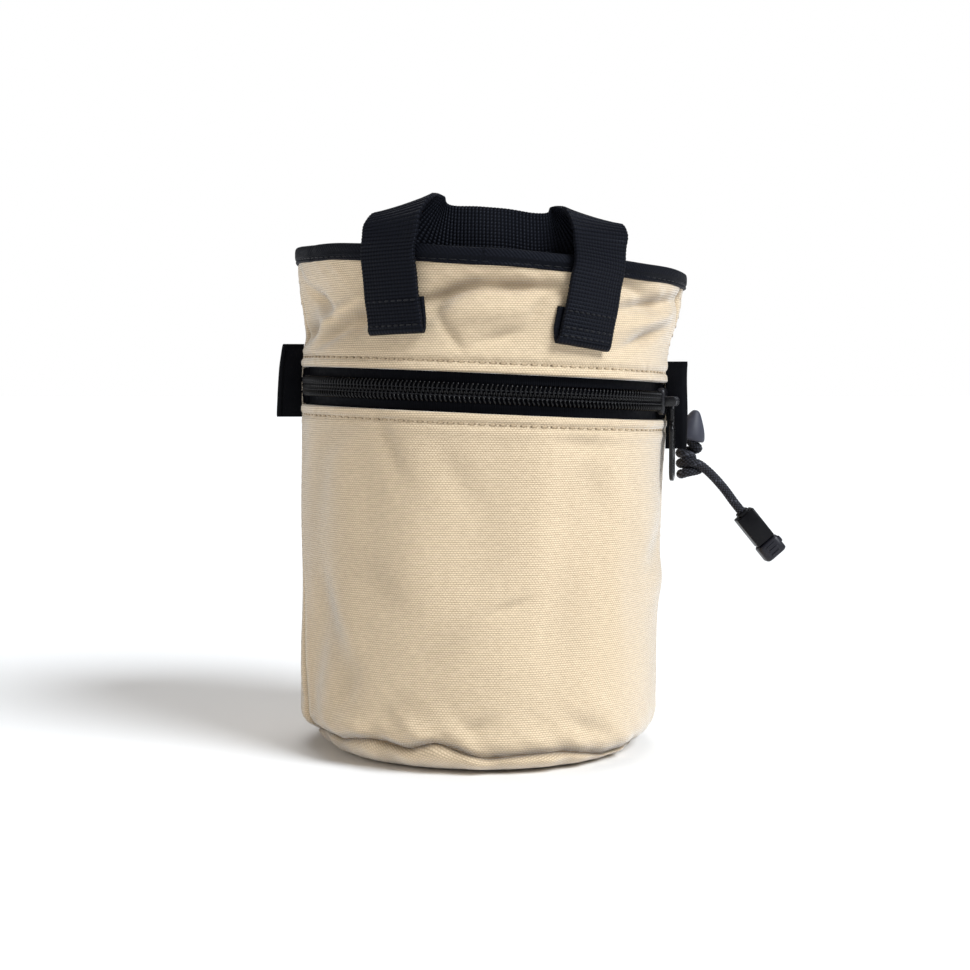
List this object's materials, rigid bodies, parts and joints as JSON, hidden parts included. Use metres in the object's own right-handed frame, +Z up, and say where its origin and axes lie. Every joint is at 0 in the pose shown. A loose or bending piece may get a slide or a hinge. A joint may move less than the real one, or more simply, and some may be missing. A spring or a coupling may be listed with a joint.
{
  "type": "climbing chalk bag",
  "caption": "Round canvas chalk bag with a bound mouth, a zip pocket across the front, a webbing strap over the rim, side tabs and a drawcord with a lock.",
  "frame": {"origin": "middle of the base's flat underside, on the ground", "axes": "+Z up out of the mouth, +X to the right of the zip side, the zip side faces -Y"},
  "size_m": [0.1687, 0.126, 0.1739],
  "materials": {
    "canvas": "matte",
    "rim_twill": "matte",
    "webbing": "satin",
    "tab_tape": "satin",
    "zip_tape": "matte",
    "zip_coil": "satin",
    "zip_metal": "gloss",
    "eyelet": "satin",
    "cord": "matte",
    "lock_plastic": "matte",
    "end_plastic": "satin"
  },
  "bodies": {
    "bag": {"front_upper_panel": "canvas", "front_lower_panel": "canvas", "back_panel": "canvas", "base_panel": "canvas", "rim_binding": "rim_twill", "zip_tape_upper": "zip_tape", "zip_tape_lower": "zip_tape", "zip_chain": "zip_coil", "zip_slider": "zip_metal", "webbing_strap": "webbing", "strap_turn_left": "webbing", "strap_turn_right": "webbing", "side_tab_left": "tab_tape", "side_tab_right": "tab_tape", "cord_eyelet": "eyelet", "drawcord": "cord", "cord_lock": "lock_plastic", "cord_end_sleeve": "end_plastic", "cord_end_clip": "end_plastic"},
    "puller": {"zip_puller": "zip_metal"}
  },
  "joints": [
    {"name": "puller_swing", "type": "hinge", "parent": "bag", "child": "puller", "pos_m": [0.06017, -0.01389, 0.11207], "axis": [-0.225, -0.9744, 0], "range_deg": [0, 150]}
  ]
}
